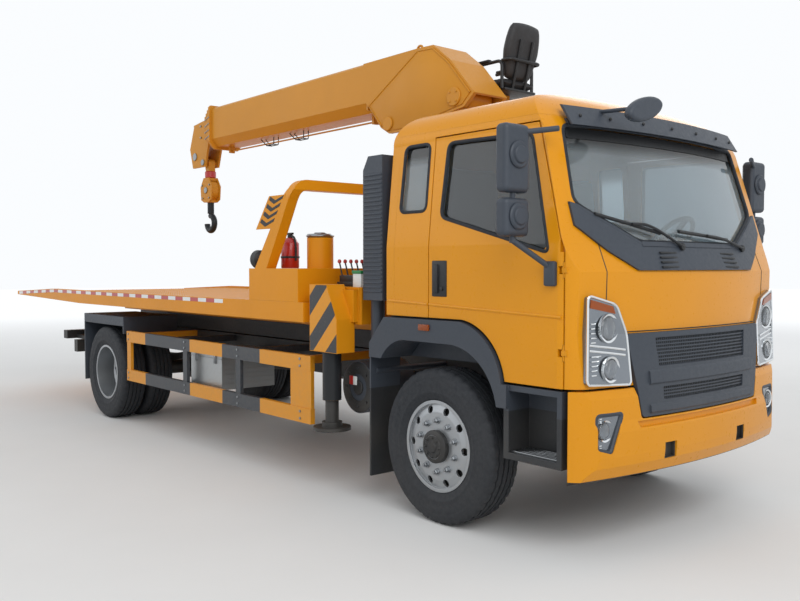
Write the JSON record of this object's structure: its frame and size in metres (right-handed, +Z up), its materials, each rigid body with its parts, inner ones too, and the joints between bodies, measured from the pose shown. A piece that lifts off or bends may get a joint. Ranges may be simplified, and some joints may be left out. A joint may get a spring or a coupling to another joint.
{
  "type": "tow truck",
  "caption": "Two-axle cab-over tow truck with a sliding, tilting flatbed, a rear wheel lift and a slewing telescopic crane behind the cab.",
  "frame": {"origin": "On the ground under the middle of the overall length and width.", "axes": "+X to the truck's front, +Y to its left, +Z up."},
  "size_m": [9.45, 2.88, 3.6389],
  "materials": {
    "tyre": "worn rubber",
    "wheel_silver": "satin silver paint",
    "glass": "clear tinted",
    "lamp": "clear lens",
    "dark_plastic": "grained dark grey",
    "cabin_trim": "grained",
    "seat": "black vinyl",
    "aluminium": "checkered, dull",
    "rod_chrome": "hard chrome",
    "cast_black": "painted black",
    "chassis_black": "semi-gloss black",
    "yellow_paint": "gloss yellow"
  },
  "bodies": {
    "chassis": {"chassis_frame": "chassis_black", "front_axle": "cast_black", "rear_axle": "cast_black", "powertrain": "cast_black", "cab_floor": "chassis_black", "cab_roof": "yellow_paint", "cab_rear": "yellow_paint", "cab_front": "yellow_paint", "cab_sides": "yellow_paint", "cab_glass": "glass", "front_trim": "dark_plastic", "bumper": "yellow_paint", "headlamps": "lamp", "sun_visor": "dark_plastic", "front_fenders": "dark_plastic", "cab_interior": "cabin_trim", "battery_box": "aluminium", "fuel_tank": "aluminium", "air_intake": "dark_plastic", "side_guards": "yellow_paint", "rear_mudguards": "dark_plastic", "crane_base": "yellow_paint"},
    "tie_rod": {"tie_rod": "cast_black"},
    "crane_column": {"crane_column": "yellow_paint", "operator_seat": "seat"},
    "boom": {"boom_base": "yellow_paint"},
    "boom_stage_2": {"boom_stage_2": "yellow_paint"},
    "boom_stage_3": {"boom_stage_3": "yellow_paint"},
    "boom_tip": {"boom_tip": "yellow_paint"},
    "hook": {"hook_block": "chassis_black"},
    "lift_barrel": {"lift_barrel": "yellow_paint"},
    "lift_rod": {"lift_rod": "rod_chrome"},
    "tilt_frame": {"tilt_frame": "chassis_black", "wheel_lift": "chassis_black"},
    "bed": {"bed_deck": "yellow_paint", "bed_headboard": "yellow_paint"},
    "tilt_barrels": {"tilt_barrels": "chassis_black"},
    "tilt_rods": {"tilt_rods": "rod_chrome"},
    "knuckle_right": {"knuckle_right": "cast_black"},
    "front_wheel_right": {"front_tyre_right": "tyre", "front_rim_right": "wheel_silver"},
    "rear_wheel_right": {"rear_tyres_right": "tyre", "rear_rims_right": "wheel_silver"},
    "door_right": {"door_right": "yellow_paint", "door_glass_right": "glass", "mirrors_right": "dark_plastic"},
    "outrigger_right": {"outrigger_right": "yellow_paint"},
    "jack_right": {"jack_right": "chassis_black"},
    "knuckle_left": {"knuckle_left": "cast_black"},
    "front_wheel_left": {"front_tyre_left": "tyre", "front_rim_left": "wheel_silver"},
    "rear_wheel_left": {"rear_tyres_left": "tyre", "rear_rims_left": "wheel_silver"},
    "door_left": {"door_left": "yellow_paint", "door_glass_left": "glass", "mirrors_left": "dark_plastic"},
    "outrigger_left": {"outrigger_left": "yellow_paint"},
    "jack_left": {"jack_left": "chassis_black"}
  },
  "joints": [
    {"name": "steer_right", "type": "hinge", "parent": "chassis", "child": "knuckle_right", "pos_m": [3.445, -0.87, 0.506], "axis": [0, 0, 1], "range_deg": [-35, 35]},
    {"name": "front_wheel_spin_right", "type": "hinge", "parent": "knuckle_right", "child": "front_wheel_right", "pos_m": [3.445, -1, 0.506], "axis": [0, 1, 0], "continuous": true},
    {"name": "rear_wheel_spin_right", "type": "hinge", "parent": "chassis", "child": "rear_wheel_right", "pos_m": [-1.855, -0.91, 0.506], "axis": [0, 1, 0], "continuous": true},
    {"name": "door_swing_right", "type": "hinge", "parent": "chassis", "child": "door_right", "pos_m": [4.478, -1.124, 1.6], "axis": [0, 0, 1], "range_deg": [0, 70]},
    {"name": "outrigger_slide_right", "type": "slide", "parent": "chassis", "child": "outrigger_right", "axis": [0, -1, 0], "range_m": [0, 0.75]},
    {"name": "jack_drop_right", "type": "slide", "parent": "outrigger_right", "child": "jack_right", "axis": [0, 0, -1], "range_m": [0, 0.465]},
    {"name": "steer_left", "type": "hinge", "parent": "chassis", "child": "knuckle_left", "pos_m": [3.445, 0.87, 0.506], "axis": [0, 0, 1], "range_deg": [-35, 35]},
    {"name": "front_wheel_spin_left", "type": "hinge", "parent": "knuckle_left", "child": "front_wheel_left", "pos_m": [3.445, 1, 0.506], "axis": [0, 1, 0], "continuous": true},
    {"name": "rear_wheel_spin_left", "type": "hinge", "parent": "chassis", "child": "rear_wheel_left", "pos_m": [-1.855, 0.91, 0.506], "axis": [0, 1, 0], "continuous": true},
    {"name": "door_swing_left", "type": "hinge", "parent": "chassis", "child": "door_left", "pos_m": [4.478, 1.124, 1.6], "axis": [0, 0, -1], "range_deg": [0, 70]},
    {"name": "outrigger_slide_left", "type": "slide", "parent": "chassis", "child": "outrigger_left", "axis": [0, 1, 0], "range_m": [0, 0.75]},
    {"name": "jack_drop_left", "type": "slide", "parent": "outrigger_left", "child": "jack_left", "axis": [0, 0, -1], "range_m": [0, 0.465]},
    {"name": "tie_rod_pivot", "type": "hinge", "parent": "knuckle_right", "child": "tie_rod", "pos_m": [3.275, -0.87, 0.455], "axis": [0, 0, 1], "range_deg": [-35.1, 35.1]},
    {"name": "crane_slew", "type": "hinge", "parent": "chassis", "child": "crane_column", "pos_m": [2.365, 0, 1.64], "axis": [0, 0, 1], "continuous": true},
    {"name": "boom_luff", "type": "hinge", "parent": "crane_column", "child": "boom", "pos_m": [2.645, 0, 2.99], "axis": [0, 1, 0], "range_deg": [0, 75]},
    {"name": "lift_barrel_pivot", "type": "hinge", "parent": "crane_column", "child": "lift_barrel", "pos_m": [2.345, 0, 1.85], "axis": [0, 1, 0], "range_deg": [0, 25.54]},
    {"name": "lift_rod_slide", "type": "slide", "parent": "lift_barrel", "child": "lift_rod", "axis": [-0.4367, 0, 0.8996], "range_m": [0, 0.7404]},
    {"name": "boom_extend_2", "type": "slide", "parent": "boom", "child": "boom_stage_2", "axis": [-1, 0, 0], "range_m": [0, 2.2]},
    {"name": "boom_extend_3", "type": "slide", "parent": "boom_stage_2", "child": "boom_stage_3", "axis": [-1, 0, 0], "range_m": [0, 2.2]},
    {"name": "boom_extend_tip", "type": "slide", "parent": "boom_stage_3", "child": "boom_tip", "axis": [-1, 0, 0], "range_m": [0, 2.2]},
    {"name": "hook_swing", "type": "hinge", "parent": "boom_tip", "child": "hook", "pos_m": [-1.635, 0, 2.88], "axis": [0, 1, 0], "range_deg": [-80, 30]},
    {"name": "bed_tilt", "type": "hinge", "parent": "chassis", "child": "tilt_frame", "pos_m": [-2.505, 0, 1.035], "axis": [0, -1, 0], "range_deg": [0, 14.05]},
    {"name": "bed_slide", "type": "slide", "parent": "tilt_frame", "child": "bed", "axis": [-1, 0, 0], "range_m": [0, 2.8]},
    {"name": "tilt_barrel_pivot", "type": "hinge", "parent": "chassis", "child": "tilt_barrels", "pos_m": [0.845, 0, 0.78], "axis": [0, 1, 0], "range_deg": [0, 20.84]},
    {"name": "tilt_rod_slide", "type": "slide", "parent": "tilt_barrels", "child": "tilt_rods", "axis": [-0.9691, 0, 0.2467], "range_m": [0, 0.2991]}
  ],
  "couplings": [
    {"joint": "steer_left", "follows": "steer_right", "ratio": 1},
    {"joint": "tie_rod_pivot", "follows": "steer_right", "ratio": -1},
    {"joint": "lift_barrel_pivot", "follows": "boom_luff", "ratio": 0.33985},
    {"joint": "lift_rod_slide", "follows": "boom_luff", "m_per_rad": 0.56484},
    {"joint": "boom_extend_3", "follows": "boom_extend_2", "ratio": 1},
    {"joint": "boom_extend_tip", "follows": "boom_extend_2", "ratio": 1},
    {"joint": "bed_tilt", "follows": "bed_slide", "rad_per_m": 0.087266},
    {"joint": "tilt_barrel_pivot", "follows": "bed_slide", "rad_per_m": 0.12962},
    {"joint": "tilt_rod_slide", "follows": "bed_slide", "ratio": 0.10646}
  ]
}
